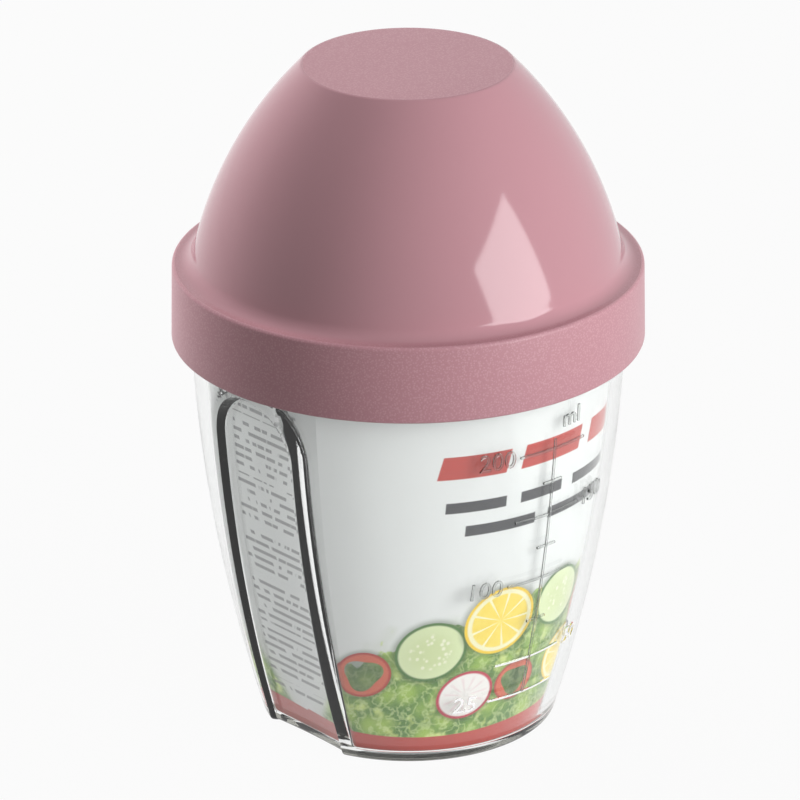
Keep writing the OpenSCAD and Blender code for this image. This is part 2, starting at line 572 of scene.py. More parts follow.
@dataclass(frozen=True)
class HoodPlastic:
    """Pink plastic, glossy on the dome and finely grained on the crown and the collar, with painted
    glints in the grain.
    """

    base: Colour = (0.52, 0.262, 0.3)
    deep: Colour = (0.47, 0.23, 0.265)
    # Colour of the painted glints
    pale: Colour = (0.78, 0.52, 0.57)
    ior: float = 1.43
    matt: float = 0.36
    gloss_less: float = 0.27
    grain_more: float = 0.1
    grain: Grain = Grain(0.34, 2.0)
    grain_depth: float = 0.026
    # Size, spread and share of the painted glints on the grained parts
    glint_size: float = 0.42
    glint_span: Span = (0.55, 0.2)
    glint_share: float = 0.24
    cloud: Grain = Grain(18.0, 2.0)
    cloud_share: float = 0.35
    swell: Grain = Grain(11.0, 1.0)
    swell_depth: float = 0.012
    ledge_soft: float = 0.15
    # Where the crown's grain starts and is full: below its height and inside its radius
    crown_below: Span = (0.35, 0.1)
    crown_within: Span = (0.1, 0.5)

    def paint(self, ledge_z: float, crown_z: float, crown_r: float) -> bpy.types.Material:
        """Builds the material.

        Args:
            ledge_z: Height of the ledge at the dome's foot.
            crown_z: Height of the crown.
            crown_r: Radius of the crown.

        Returns:
            The material.
        """
        paint = Paint("hood_plastic")
        x, y, z = paint.axes()
        radius = (x * x + y * y).math("SQRT")
        above_ledge = z.step(ledge_z - self.ledge_soft, ledge_z + self.ledge_soft)
        start_below, full_below = self.crown_below
        start_within, full_within = self.crown_within
        past_crown_r = radius.step(crown_r - full_within, crown_r - start_within)
        crown = z.step(crown_z - start_below, crown_z - full_below) * (1 - past_crown_r)
        gloss = above_ledge * (1 - crown)
        grain = paint.noise(self.grain)
        # Painted glints: lighter specks in the colour of the grained parts
        glint = paint.cells(self.glint_size).step(*self.glint_span) * (1 - gloss)
        tone = paint.mix(self.cloud_share * paint.noise(self.cloud), self.base, self.deep)
        tone = paint.mix(glint * self.glint_share, tone, self.pale)
        swell = paint.bump(paint.noise(self.swell), self.swell_depth)
        paint.set(
            Base_Color=tone,
            Roughness=self.matt - self.gloss_less * gloss + self.grain_more * grain * (1 - gloss),
            Normal=paint.bump(grain * (1 - gloss), self.grain_depth, swell),
            IOR=self.ior,
        )
        return paint.material


@dataclass(frozen=True)
class WhitePlastic:
    """Satin white plastic of the strainer."""

    base: Colour = (0.8, 0.8, 0.78)
    shade: Colour = (0.72, 0.72, 0.69)
    cloud: Grain = Grain(9.0, 2.0)
    cloud_share: float = 0.4
    grain: Grain = Grain(0.5, 3.0)
    grain_depth: float = 0.012
    roughness: float = 0.34
    grain_more: float = 0.16
    milkiness: float = 0.05
    milk_depth: float = 2.0

    def paint(self) -> bpy.types.Material:
        """Builds the material.

        Returns:
            The material.
        """
        paint = Paint("strainer_plastic")
        grain = paint.noise(self.grain)
        cloud = paint.noise(self.cloud) * self.cloud_share
        paint.set(
            Base_Color=paint.mix(cloud, self.base, self.shade),
            Roughness=self.roughness + self.grain_more * grain,
            Normal=paint.bump(grain, self.grain_depth),
            Subsurface_Weight=self.milkiness,
            Subsurface_Scale=self.milk_depth * MM,
        )
        return paint.material


@dataclass(frozen=True)
class Silicone:
    """Milky silicone of the seal."""

    base: Colour = (0.66, 0.66, 0.63)
    dusty: Colour = (0.74, 0.74, 0.72)
    dust: Grain = Grain(0.8, 4.0)
    dust_span: Span = (0.5, 0.8)
    dust_depth: float = 0.01
    roughness: float = 0.42
    dust_more: float = 0.2
    sheen: float = 0.1

    def paint(self) -> bpy.types.Material:
        """Builds the material.

        Returns:
            The material.
        """
        paint = Paint("seal_silicone")
        dust = paint.noise(self.dust)
        paint.set(
            Base_Color=paint.mix(dust.step(*self.dust_span), self.base, self.dusty),
            Roughness=self.roughness + self.dust_more * dust,
            Normal=paint.bump(dust, self.dust_depth),
            Sheen_Weight=self.sheen,
        )
        return paint.material


# Print of the sleeve


@dataclass(frozen=True)
class Sheet:
    """The unrolled sleeve, in the material that is being built.

    u is the arc length from the scale, flat the place on the sheet in metres.
    """

    paint: Paint
    y: Signal
    z: Signal
    u: Signal
    flat: bpy.types.NodeSocket


@dataclass(frozen=True)
class Disc:
    """Place on one slice: distance from its middle, 1 at the rim, and direction in radians."""

    sheet: Sheet
    away: Signal
    turn: Signal


class SliceFace(ABC):
    """Cut face of one kind of slice."""

    # Distances from the middle at which the face ends and is whole, as shares of its radius
    rim = (1.0, 0.97)

    @abstractmethod
    def tone(self, disc: Disc) -> bpy.types.NodeSocket:
        """Gives the colour at a place on the slice."""

    def cover(self, disc: Disc) -> Signal:
        """Gives 1 where the slice hides what lies under it, and 0 elsewhere."""
        return disc.away.step(*self.rim)


@dataclass(frozen=True)
class Cucumber(SliceFace):
    """Cucumber slice: seeds round a pale core, greener flesh and a dark skin."""

    core: Colour = (0.6, 0.68, 0.36)
    flesh: Colour = (0.66, 0.74, 0.44)
    seed: Colour = (0.8, 0.82, 0.62)
    skin: Colour = (0.05, 0.16, 0.02)
    seed_size: float = 1.3
    seed_span: Span = (0.42, 0.2)
    seed_ring: Span = (0.22, 0.6)
    seed_soft: float = 0.06
    flesh_span: Span = (0.3, 0.85)
    skin_span: Span = (0.86, 0.93)

    def tone(self, disc: Disc) -> bpy.types.NodeSocket:
        """Gives the colour of seeds, flesh and skin.

        Args:
            disc: Place on the slice.

        Returns:
            The colour.
        """
        paint = disc.sheet.paint
        seeds = paint.cells(self.seed_size, disc.sheet.flat).step(*self.seed_span)
        seeds = seeds * disc.away.between(*self.seed_ring, self.seed_soft)
        tone = paint.mix(disc.away.step(*self.flesh_span), self.core, self.flesh)
        tone = paint.mix(seeds, tone, self.seed)
        return paint.mix(disc.away.step(*self.skin_span), tone, self.skin)


@dataclass(frozen=True)
class Lemon(SliceFace):
    """Lemon slice: wedges of pulp between pale walls, and a yellow rind."""

    pulp_deep: Colour = (0.85, 0.6, 0.04)
    pulp_light: Colour = (0.9, 0.74, 0.16)
    pith: Colour = (0.86, 0.82, 0.55)
    rind: Colour = (0.86, 0.58, 0.02)
    pulp: Grain = Grain(0.9, 3.0)
    wedges: int = 9
    wedge_span: Span = (0.1, 0.28)
    pith_span: Span = (0.76, 0.82)
    rind_span: Span = (0.88, 0.93)

    def tone(self, disc: Disc) -> bpy.types.NodeSocket:
        """Gives the colour of pulp, pith and rind.

        Args:
            disc: Place on the slice.

        Returns:
            The colour.
        """
        paint = disc.sheet.paint
        wedge = abs((disc.turn * (self.wedges / 2)).math("SINE")).step(*self.wedge_span)
        pulp = paint.mix(paint.noise(self.pulp, disc.sheet.flat), self.pulp_deep, self.pulp_light)
        tone = paint.mix(wedge * (1 - disc.away.step(*self.pith_span)), self.pith, pulp)
        return paint.mix(disc.away.step(*self.rind_span), tone, self.rind)


@dataclass(frozen=True)
class Radish(SliceFace):
    """Radish slice: white flesh with faint rays and a red skin."""

    flesh: Colour = (0.86, 0.82, 0.8)
    ray: Colour = (0.78, 0.6, 0.62)
    skin: Colour = (0.5, 0.022, 0.06)
    rays: int = 11
    ray_span: Span = (0.4, 0.9)
    ray_ring: Span = (0.2, 0.75)
    ray_soft: float = 0.1
    ray_share: float = 0.5
    skin_span: Span = (0.84, 0.92)

    def tone(self, disc: Disc) -> bpy.types.NodeSocket:
        """Gives the colour of flesh, rays and skin.

        Args:
            disc: Place on the slice.

        Returns:
            The colour.
        """
        paint = disc.sheet.paint
        ray = (disc.turn * float(self.rays)).math("SINE").step(*self.ray_span)
        ray = ray * disc.away.between(*self.ray_ring, self.ray_soft)
        tone = paint.mix(ray * self.ray_share, self.flesh, self.ray)
        return paint.mix(disc.away.step(*self.skin_span), tone, self.skin)


@dataclass(frozen=True)
class Pepper(SliceFace):
    """Pepper slice: a lobed red ring, with the leaves showing through it."""

    flesh: Colour = (0.62, 0.12, 0.06)
    skin: Colour = (0.42, 0.02, 0.012)
    lobes: int = 3
    hole: float = 0.78
    lobe_depth: float = 0.09
    hole_span: Span = (-0.14, -0.1)
    skin_span: Span = (0.84, 0.96)

    def tone(self, disc: Disc) -> bpy.types.NodeSocket:
        """Gives the colour of flesh and skin."""
        return disc.sheet.paint.mix(disc.away.step(*self.skin_span), self.flesh, self.skin)

    def cover(self, disc: Disc) -> Signal:
        """Gives 1 on the ring, and 0 in its hole and outside."""
        edge = self.hole + self.lobe_depth * (disc.turn * float(self.lobes)).math("SINE")
        return super().cover(disc) * (disc.away - edge).step(*self.hole_span)


class SliceKind(Enum):
    """Kinds of slices in the print."""

    CUCUMBER = Cucumber()
    LEMON = Lemon()
    PEPPER = Pepper()
    RADISH = Radish()


@dataclass(frozen=True)
class Slice:
    """One round slice on the sheet, placed by its arc length from the scale and its height."""

    kind: SliceKind
    u: float
    z: float
    r: float
    shadow: Colour = (0.03, 0.07, 0.015)
    shadow_span: Span = (1.22, 0.92)
    shadow_share: float = 0.6

    def lay(self, sheet: Sheet, tone: Tone) -> bpy.types.NodeSocket:
        """Lays the slice and its shadow on the sheet.

        Args:
            sheet: The unrolled sleeve.
            tone: Colour below.

        Returns:
            The colour with the slice on it.
        """
        du = sheet.u - self.u
        dz = sheet.z - self.z
        away = (du * du + dz * dz).math("SQRT") / self.r
        disc = Disc(sheet, away, dz.math("ARCTAN2", du))
        shaded = away.step(*self.shadow_span) * self.shadow_share
        tone = sheet.paint.mix(shaded, tone, self.shadow)
        face = self.kind.value
        return sheet.paint.mix(face.cover(disc), tone, face.tone(disc))


@dataclass(frozen=True)
class BarRow:
    """A row of bare bars, each given by its first and its last arc length."""

    ink: Colour
    low_z: float
    high_z: float
    bars: tuple[Span, ...]
    slant: float = 0.0
    soft_u: float = 0.15
    soft_z: float = 0.12

    def lay(self, sheet: Sheet, tone: Tone) -> Tone:
        """Prints the row.

        Args:
            sheet: The unrolled sleeve.
            tone: Colour below.

        Returns:
            The colour with the bars on it.
        """
        lean = sheet.u - self.slant * (sheet.z - self.low_z)
        for bar in self.bars:
            mask = lean.between(*bar, self.soft_u) * sheet.z.between(self.low_z, self.high_z, self.soft_z)
            tone = sheet.paint.mix(mask, tone, self.ink)
        return tone


@dataclass(frozen=True)
class LeafBed:
    """Bed of frilly leaves across the lower half of the sheet, with a faint halo above it."""

    top_z: float = 34.0
    sag: float = 0.011
    lump: Grain = Grain(11.0, 1.0)
    lump_height: float = 18.0
    frill: Grain = Grain(3.2, 4.0)
    frill_height: float = 7.0
    edge_soft: float = 0.5
    side_span: Span = (33.0, 35.0)
    light: Colour = (0.33, 0.5, 0.07)
    dark: Colour = (0.075, 0.2, 0.022)
    leaf_size: float = 5.5
    leaf_span: Span = (0.1, 0.75)
    frill_tone: Colour = (0.55, 0.66, 0.2)
    frill_span: Span = (0.52, 0.72)
    vein_tone: Colour = (0.62, 0.72, 0.34)
    vein: Grain = Grain(2.4, 3.0)
    vein_span: Span = (0.06, 0.0)
    vein_share: float = 0.5
    halo_tone: Colour = (0.5, 0.55, 0.42)
    halo_rise: float = 3.0
    halo_soft: float = 4.0
    halo_side_span: Span = (34.0, 38.0)
    halo_share: float = 0.3

    def lay(self, sheet: Sheet, tone: Tone) -> bpy.types.NodeSocket:
        """Prints the leaves.

        Args:
            sheet: The unrolled sleeve.
            tone: Colour below.

        Returns:
            The colour with the leaves on it.
        """
        paint, flat = sheet.paint, sheet.flat
        frill = paint.noise(self.frill, flat)
        lump = paint.noise(self.lump, flat)
        top = self.top_z + self.lump_height * (lump - Grain.mean) - self.sag * sheet.u * sheet.u
        below_top = top + self.frill_height * (frill - Grain.mean) - sheet.z
        aside = abs(sheet.u)
        halo = (below_top + self.halo_rise).step(0.0, self.halo_soft)
        halo = halo * (1 - aside.step(*self.halo_side_span))
        tone = paint.mix(halo * self.halo_share, tone, self.halo_tone)
        green = paint.mix(paint.cells(self.leaf_size, flat).step(*self.leaf_span), self.light, self.dark)
        green = paint.mix(frill.step(*self.frill_span), green, self.frill_tone)
        vein = abs(paint.noise(self.vein, flat) - Grain.mean).step(*self.vein_span)
        green = paint.mix(vein * self.vein_share, green, self.vein_tone)
        inside = below_top.step(0.0, self.edge_soft) * (1 - aside.step(*self.side_span))
        return paint.mix(inside, tone, green)


@dataclass(frozen=True)
class SmallRows:
    """Rows of short grey dashes on the two side panels."""

    ink: Colour = (0.12, 0.12, 0.13)
    ink_share: float = 0.75
    row_pitch: float = 1.75
    row_span: Span = (0.25, 0.66)
    row_soft: float = 0.06
    dash: Grain = Grain(1.7, 1.0)
    dash_span: Span = (0.43, 0.47)
    # How far the noise of the dashes moves on from one row to the next, in metres
    row_shift: Point = (0.013, 0.007)
    block_pitch: float = 11.0
    block_span: Span = (0.12, 0.14)
    panel_y: Span = (8.8, 8.5)
    panel_z: Span = (9.0, 71.0)
    panel_soft: float = 0.4

    def lay(self, sheet: Sheet, tone: Tone) -> bpy.types.NodeSocket:
        """Prints the rows.

        Args:
            sheet: The unrolled sleeve.
            tone: Colour below.

        Returns:
            The colour with the rows on it.
        """
        paint, z = sheet.paint, sheet.z
        row = (z / self.row_pitch).math("FRACT").between(*self.row_span, self.row_soft)
        number = (z / self.row_pitch).math("FLOOR")
        shift_y, shift_z = self.row_shift
        values = {0: sheet.u * MM, 1: number * shift_y, 2: number * shift_z}
        where = paint.node("ShaderNodeCombineXYZ", None, values).outputs[0]
        dashes = paint.noise(self.dash, where).step(*self.dash_span)
        block = (z / self.block_pitch).math("FRACT").step(*self.block_span)
        panel = abs(sheet.y).step(*self.panel_y) * z.between(*self.panel_z, self.panel_soft)
        return paint.mix(row * dashes * block * panel * self.ink_share, tone, self.ink)


@dataclass(frozen=True)
class SleevePrint:
    """Generic print of the paper sleeve: bare bars, a bed of leaves with slices, and a red stripe."""

    paper: Colour = (0.76, 0.77, 0.765)
    mottle: Grain = Grain(0.35, 4.0)
    mottle_shade: float = 0.95
    fibre: Grain = Grain(0.18, 3.0)
    fibre_depth: float = 0.006
    roughness: float = 0.42
    fibre_more: float = 0.14
    red: Colour = (0.47, 0.045, 0.032)
    ink: Colour = (0.045, 0.045, 0.05)
    stripe_z: float = 6.3
    wave_height: float = 0.8
    wave_rate: float = 0.09
    stripe_soft: float = 0.1
    outer_span: Span = (0.0, 0.5)
    # How far the noises move on per radian round the axis, in metres, so that no side repeats another
    turn_shift: float = 0.02
    slices: tuple[Slice, ...] = (
        Slice(SliceKind.CUCUMBER, -19.0, 25.0, 6.6),
        Slice(SliceKind.LEMON, -6.5, 30.0, 7.2),
        Slice(SliceKind.CUCUMBER, 7.5, 31.0, 6.2),
        Slice(SliceKind.PEPPER, 19.5, 26.0, 6.4),
        Slice(SliceKind.PEPPER, -30.5, 19.5, 5.2),
        Slice(SliceKind.LEMON, 12.0, 16.5, 6.0),
        Slice(SliceKind.RADISH, -11.0, 14.5, 5.4),
        Slice(SliceKind.RADISH, 28.5, 17.0, 4.8),
        Slice(SliceKind.PEPPER, -1.0, 15.5, 4.4),
    )

    def bar_rows(self) -> tuple[BarRow, ...]:
        """Gives the rows of bare bars: one red, two in ink.

        Returns:
            The rows.
        """
        return (
            BarRow(self.red, 61.6, 66.2, ((-22.0, -9.0), (-6.0, 8.0), (11.0, 21.0)), slant=0.22),
            BarRow(self.ink, 54.6, 56.8, ((-20.0, -8.5), (-5.5, 4.0), (7.0, 19.0))),
            BarRow(self.ink, 49.6, 51.8, ((-16.0, -2.0), (1.0, 16.5))),
        )

    def paint(self) -> bpy.types.Material:
        """Builds the material.

        Returns:
            The material.
        """
        paint = Paint("sleeve_print")
        x, y, z = paint.axes()
        turn = x.math("ARCTAN2", 0 - y)
        # The front and the back carry the same print, so arc length starts again at the back
        folded = (turn + RIGHT_ANGLE).math("FLOORED_MODULO", math.pi) - RIGHT_ANGLE
        u = folded * (x * x + y * y).math("SQRT")
        values = {0: u * MM, 1: z * MM, 2: turn * self.turn_shift}
        flat = paint.node("ShaderNodeCombineXYZ", None, values).outputs[0]
        sheet = Sheet(paint, y, z, u, flat)
        shaded = tuple(self.mottle_shade * part for part in self.paper)
        tone = paint.mix(paint.noise(self.mottle), self.paper, shaded)
        for layer in (LeafBed(), *self.slices, *self.bar_rows(), SmallRows()):
            tone = layer.lay(sheet, tone)
        wave = self.stripe_z + self.wave_height * (u * self.wave_rate).math("SINE")
        tone = paint.mix((wave - z).step(-self.stripe_soft, self.stripe_soft), tone, self.red)
        tone = paint.mix(self.outer_side(paint, x, y), self.paper, tone)
        fibre = paint.noise(self.fibre)
        paint.set(
            Base_Color=tone,
            Roughness=self.roughness + self.fibre_more * fibre,
            Normal=paint.bump(fibre, self.fibre_depth),
        )
        return paint.material

    def outer_side(self, paint: Paint, x: Signal, y: Signal) -> Signal:
        """Tells the two sides of the paper apart.

        Args:
            paint: Material under construction.
            x: Place along X in millimetres.
            y: Place along Y in millimetres.

        Returns:
            1 on the outer side and 0 on the bare inner side.
        """
        geometry = paint.node("ShaderNodeNewGeometry")
        split = paint.node("ShaderNodeSeparateXYZ", None, {0: geometry.outputs["True Normal"]})
        outward = x * Signal(paint, split.outputs[0]) + y * Signal(paint, split.outputs[1])
        return outward.step(*self.outer_span)


# The parts


@dataclass
class ThreadRidge:
    """Two-start thread ridge on a straight neck or inside a straight collar."""

    wall_r: float
    out: float
    low_z: float
    half_w: float
    outwards: bool
    lead: float = 6.0
    sweep: float = 200.0
    sunk: float = 0.3
    crest_share: float = 0.35
    steps: int = 80

    def build(self, name: str, body: Body, slot: Slot) -> bpy.types.Object:
        """Builds both starts as one piece.

        Args:
            name: Name of the piece.
            body: Body that carries it.
            slot: Material slot.

        Returns:
            The piece, without a material.
        """
        sign = 1.0 if self.outwards else -1.0
        root, crest = self.wall_r - sign * self.sunk, self.wall_r + sign * self.out
        crest_w = self.half_w * self.crest_share
        section = [(root, -self.half_w), (crest, -crest_w), (crest, crest_w), (root, self.half_w)]
        bm = bmesh.new()
        rise = self.lead * self.sweep / 360.0
        for start in (0.0, math.pi):
            turn = Matrix.Rotation(start, 3, "Z")
            ring = [bm.verts.new(turn @ Vector((r * MM, 0.0, (self.low_z + z) * MM))) for r, z in section]
            face = bm.faces.new(ring)
            bmesh.ops.spin(
                bm,
                geom=[face],
                cent=(0, 0, 0),
                axis=(0, 0, 1),
                dvec=(0, 0, rise * MM / self.steps),
                angle=math.radians(self.sweep),
                steps=self.steps,
                use_duplicate=False,
            )
        bmesh.ops.recalc_face_normals(bm, faces=bm.faces)
        return to_piece(bm, name, body, slot)


class CupFace(Enum):
    """Finishes of the cup's faces, numbered as the cup's materials are."""

    WALL = 0
    # Band of painted shade along the outline of the recesses
    STEP = 1
    # Base's edge, clear plastic tinted dark as painted shade
    FOOT = 2


@dataclass
class Cup:
    """Clear cup with two grip recesses and a thread on its neck."""

    base_r: float = 27.6
    neck_r: float = 40.3
    height: float = 84.6
    neck_len: float = 7.6
    swell: float = 2.5
    wall: float = 2.2
    floor_t: float = 1.6
    floor_corner: float = 0.9
    foot_h: float = 0.4
    foot_hollow_r: float = 21.4
    foot_slope: float = 0.4
    foot_margin: float = 0.5
    # Painted shade on the base's edge below a height: a dark tint of the clear plastic where the thick
    # base looks dark grey
    foot_painted_shade: Colour = (0.1, 0.1, 0.08)
    foot_shade_z: float = 1.9
    base_edge: float = 1.4
    rim_edge: float = 0.5
    grip_w: float = 19.5
    grip_depth: float = 2.8
    grip_ease: float = 0.1
    grip_dish: float = 0.35
    grip_arch_z: float = 62.85
    step_soft: float = 0.55
    # Half the width of the band of painted shade along the recess outline
    step_half: float = 0.42
    flat_half: float = 14.0
    flat_margin: float = 1.0
    turns: int = 208
    rows: int = 150
    base_steps: int = 8
    edge_steps: int = 5
    sharp: float = 50.0
    thread_out: float = 0.65
    thread_z: float = 1.9
    thread_half: float = 1.0

    def __post_init__(self) -> None:
        """Works out the circles of the wall and of the base's edge."""
        self.neck_z = self.height - self.neck_len
        foot, head = (self.base_r, 0.0), (self.neck_r, self.neck_z)
        size = ((math.dist(foot, head) / 2) ** 2 + self.swell**2) / (2 * self.swell)
        self.side = circle_through(foot, head, size)
        self.edge = self.side.corner_inside(self.base_edge, self.base_edge)
        self.edge_turn = self.side.heading((self.edge.r, self.edge.z))
        self.pressed_from_r = self.foot_hollow_r + self.foot_margin

    def outer_r(self, z: float) -> float:
        """Gives the outer radius of the round wall.

        Args:
            z: Height.

        Returns:
            The radius.
        """
        if z >= self.neck_z:
            return self.neck_r
        if z < self.edge.z + self.base_edge * math.sin(self.edge_turn):
            return self.edge.reach(max(0.0, z))
        return self.side.reach(z)

    def outer_profile(self) -> list[Point]:
        """Gives the outer profile.

        Returns:
            The points from the table to the top of the rim.
        """
        low = self.edge.arc(-RIGHT_ANGLE, self.edge_turn, self.base_steps)
        start = low[-1][1]
        heights = [start + (self.neck_z - start) * i / self.rows for i in range(1, self.rows + 1)]
        side = [(self.side.reach(z), z) for z in heights]
        rim = Circle(self.neck_r - self.rim_edge, self.height - self.rim_edge, self.rim_edge)
        return low + side + rim.arc(0.0, RIGHT_ANGLE, self.edge_steps)

    def inner_profile(self) -> list[Point]:
        """Gives the inner profile.

        Returns:
            The points from the top of the rim down to the middle of the floor.
        """
        bore = self.side.grown(-self.wall)
        mouth_r = self.neck_r - self.wall + self.rim_edge
        mouth = Circle(mouth_r, self.height - self.rim_edge, self.rim_edge)
        floor_z = self.foot_h + self.floor_t
        low = floor_z + self.floor_corner
        steps = self.rows // 2
        heights = [self.neck_z + (low - self.neck_z) * i / steps for i in range(steps + 1)]
        side = [(bore.reach(z), z) for z in heights]
        corner = Circle(bore.reach(low) - self.floor_corner, low, self.floor_corner)
        return (
            mouth.arc(RIGHT_ANGLE, math.pi, self.edge_steps)
            + side
            + corner.arc(0.0, -RIGHT_ANGLE, self.edge_steps)[1:]
            + [(0.0, floor_z)]
        )

    def inside(self, y: float, z: float) -> float:
        """Gives how far a point lies inside the outline of a recess, below 0 outside it."""
        return self.grip_w / 2 - math.hypot(y, max(0.0, z - self.grip_arch_z))

    def line_up(self, bm: bmesh.types.BMesh) -> None:
        """Slides the mesh round the axis, so that its columns run straight along the recesses.

        Args:
            bm: Mesh of the spun cup.
        """
        flat = math.pi / 4
        for vert in bm.verts:
            r = radius_of(vert)
            if r < self.flat_half + self.flat_margin:
                continue
            turn = math.atan2(vert.co.y, abs(vert.co.x))
            side = math.copysign(1.0, vert.co.x)
            edge = math.asin(self.flat_half / r)
            if abs(turn) <= flat:
                y = self.flat_half * turn / flat
                x = math.sqrt(r * r - y * y)
            else:
                spread = edge + (abs(turn) - flat) / (RIGHT_ANGLE - flat) * (RIGHT_ANGLE - edge)
                x = r * math.cos(spread)
                y = math.copysign(r * math.sin(spread), turn)
            vert.co.x = side * x * MM
            vert.co.y = y * MM

    def is_outer(self, vert: bmesh.types.BMVert) -> bool:
        """Tells whether a vertex lies on the outer side of the wall, before the recesses are pressed.

        Args:
            vert: Vertex of the cup.

        Returns:
            True on the outer side.
        """
        z = vert.co.z / MM
        outer_from_r = max(self.outer_r(z) - self.wall / 2, self.pressed_from_r)
        return z < self.neck_z and radius_of(vert) > outer_from_r

    def cut_outline(self, bm: bmesh.types.BMesh, level: float) -> None:
        """Cuts the outer side along a line that follows the outline of the recesses.

        Args:
            bm: Mesh of the cup.
            level: Distance of the line inside the outline.
        """
        made = []
        for edge in list(bm.edges):
            first, second = edge.verts
            if not (self.is_outer(first) and self.is_outer(second)):
                continue
            a, b = (self.inside(v.co.y / MM, v.co.z / MM) - level for v in (first, second))
            if a * b < 0.0:
                made.append(bmesh.utils.edge_split(edge, first, a / (a - b))[1])
        bmesh.ops.connect_verts(bm, verts=made)

    def press(self, bm: bmesh.types.BMesh) -> None:
        """Presses the recesses in, on both sides of the wall.

        Args:
            bm: Mesh of the cup.
        """
        for vert in bm.verts:
            y, z = vert.co.y / MM, vert.co.z / MM
            if radius_of(vert) < self.pressed_from_r or z > self.neck_z:
                continue
            grow = 0.0 if self.is_outer(vert) else self.wall
            share = smooth_step(self.inside(y, z) + grow, -self.step_soft, self.step_soft)
            dish = self.grip_dish * max(0.0, 1.0 - (2.0 * y / self.grip_w) ** 2)
            floor_x = self.outer_r(z) - self.grip_depth - grow - dish + self.grip_ease
            x = abs(vert.co.x) / MM
            x += share * min(0.0, floor_x - x)
            vert.co.x = math.copysign(x * MM, vert.co.x)

    def face_kind(self, face: bmesh.types.BMFace) -> CupFace:
        """Tells which finish a face takes, before the recesses are pressed.

        Args:
            face: Face of the cup.

        Returns:
            The finish.
        """
        middle = face.calc_center_median() / MM
        if not all(self.is_outer(vert) for vert in face.verts):
            return CupFace.WALL
        if abs(self.inside(middle.y, middle.z)) < self.step_half:
            return CupFace.STEP
        return CupFace.FOOT if middle.z < self.foot_shade_z else CupFace.WALL

    def build(self) -> None:
        """Builds the cup and its thread."""
        hollow_top_r = self.foot_hollow_r - self.foot_slope
        hollow = [(0.0, self.foot_h), (hollow_top_r, self.foot_h), (self.foot_hollow_r, 0.0)]
        bm = spin_profile(hollow + self.outer_profile() + self.inner_profile(), self.turns)
        self.line_up(bm)
        for level in (-self.step_half, self.step_half):
            self.cut_outline(bm, level)
        for face in bm.faces:
            face.material_index = self.face_kind(face).value
        self.press(bm)
        bmesh.ops.recalc_face_normals(bm, faces=bm.faces)
        shell = to_piece(bm, "cup_shell", Body.CUP, Slot.CLEAR, self.sharp)
        clear = ClearPlastic().paint()
        finishes = {
            CupFace.WALL: clear,
            # The recess sides get painted shade
            CupFace.STEP: PaintedStepShade().paint(),
            # The base's edge takes the clear finish tinted dark, as painted shade
            CupFace.FOOT: ClearPlastic("cup_foot_painted_shade", self.foot_painted_shade).paint(),
        }
        for kind in CupFace:
            shell.data.materials.append(finishes[kind])
        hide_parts("cup")
        low_z = self.neck_z + self.thread_z
        thread = ThreadRidge(self.neck_r, self.thread_out, low_z, self.thread_half, outwards=True)
        thread.build("cup_thread", Body.CUP, Slot.CLEAR).data.materials.append(clear)


